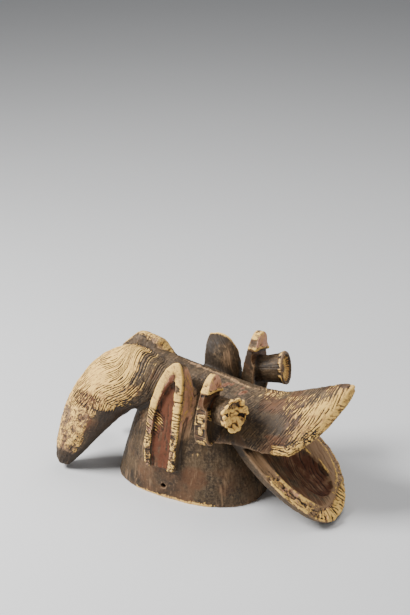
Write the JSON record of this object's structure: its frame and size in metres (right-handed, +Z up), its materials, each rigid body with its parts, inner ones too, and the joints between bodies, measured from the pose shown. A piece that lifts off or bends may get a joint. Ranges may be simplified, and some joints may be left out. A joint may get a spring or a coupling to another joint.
{
  "type": "helmet_mask",
  "caption": "Carved wooden helmet mask of an animal with open jaws, tubular eyes, leaf-shaped ears and big horns curving back",
  "frame": {"origin": "middle of the underside of the bounding box, on the floor that the rim stands on", "axes": "+X points out of the snout, +Y to the animal's left, +Z up"},
  "size_m": [0.4822, 0.23, 0.236],
  "materials": {
    "wood": "worn dark wood with pale kaolin and red camwood pigment"
  },
  "bodies": {
    "root": {"mask": "wood"}
  },
  "joints": []
}
